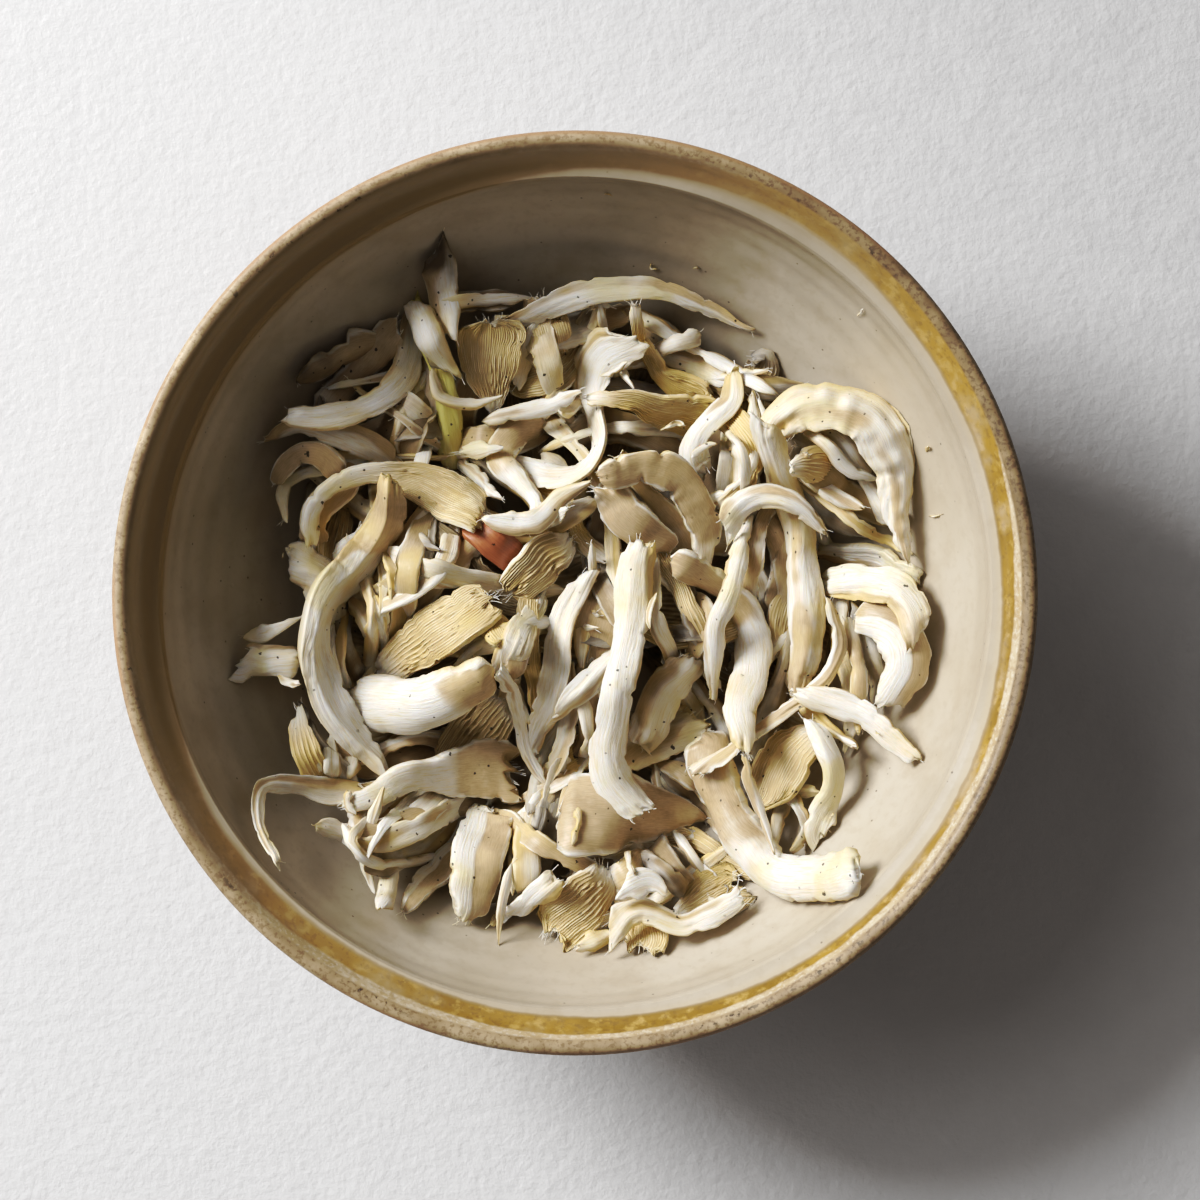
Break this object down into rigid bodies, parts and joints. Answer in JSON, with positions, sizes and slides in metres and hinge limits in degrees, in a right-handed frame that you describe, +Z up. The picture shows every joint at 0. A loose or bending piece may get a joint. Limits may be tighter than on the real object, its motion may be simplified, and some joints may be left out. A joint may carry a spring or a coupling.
{
  "type": "bowl of mushrooms",
  "caption": "Round glazed stoneware bowl on a foot ring, with a ridged lip, holding a loose heap of torn oyster mushroom strips, stems, caps and gilled pieces.",
  "frame": {"origin": "under the middle of the foot ring, on the surface that the bowl stands on", "axes": "+Z up out of the bowl's mouth; +X to the right and +Y to the top of the picture"},
  "size_m": [0.23, 0.23, 0.084],
  "materials": {
    "glaze": "glossy cream glaze with fine dark specks, ochre-brown at the lip",
    "flesh": "matt fibrous white flesh",
    "cap_skin": "satin grey-tan cap skin",
    "gills": "matt cream to brown gills"
  },
  "bodies": {
    "root": {"base_cap_1": "cap_skin", "base_cap_2": "gills", "base_cap_3": "cap_skin", "base_cap_4": "gills", "base_cap_5": "cap_skin", "base_cap_6": "gills", "base_cap_7": "gills", "bowl": "glaze", "cap_piece_01": "cap_skin", "cap_piece_02": "cap_skin", "cap_piece_03": "cap_skin", "cap_piece_04": "cap_skin", "cap_piece_05": "cap_skin", "cap_piece_06": "cap_skin", "cap_piece_07": "cap_skin", "cap_piece_08": "cap_skin", "cap_piece_09": "cap_skin", "cap_piece_10": "cap_skin", "cap_piece_11": "cap_skin", "cap_piece_12": "cap_skin", "cap_piece_13": "cap_skin", "cap_piece_14": "cap_skin", "flesh_strip_01": "flesh", "flesh_strip_02": "flesh", "flesh_strip_03": "flesh", "flesh_strip_04": "flesh", "flesh_strip_05": "flesh", "flesh_strip_06": "flesh", "flesh_strip_07": "flesh", "flesh_strip_08": "flesh", "flesh_strip_09": "flesh", "flesh_strip_10": "flesh", "flesh_strip_11": "flesh", "flesh_strip_12": "flesh", "flesh_strip_13": "flesh", "flesh_strip_14": "flesh", "flesh_strip_15": "flesh", "flesh_strip_16": "flesh", "flesh_strip_17": "flesh", "gill_piece_01": "gills", "gill_piece_02": "gills", "gill_piece_03": "gills", "gill_piece_04": "gills", "gill_piece_05": "gills", "gill_piece_06": "gills", "gill_piece_07": "gills", "gill_piece_08": "gills", "gill_piece_09": "gills", "gill_piece_10": "gills", "gill_piece_11": "gills", "stem_piece_01": "flesh", "stem_piece_02": "flesh", "stem_piece_03": "flesh", "stem_piece_04": "flesh", "stem_piece_05": "flesh", "stem_piece_06": "flesh", "stem_piece_07": "flesh", "stem_piece_08": "flesh", "stem_piece_09": "flesh", "stem_piece_10": "flesh"}
  },
  "joints": []
}
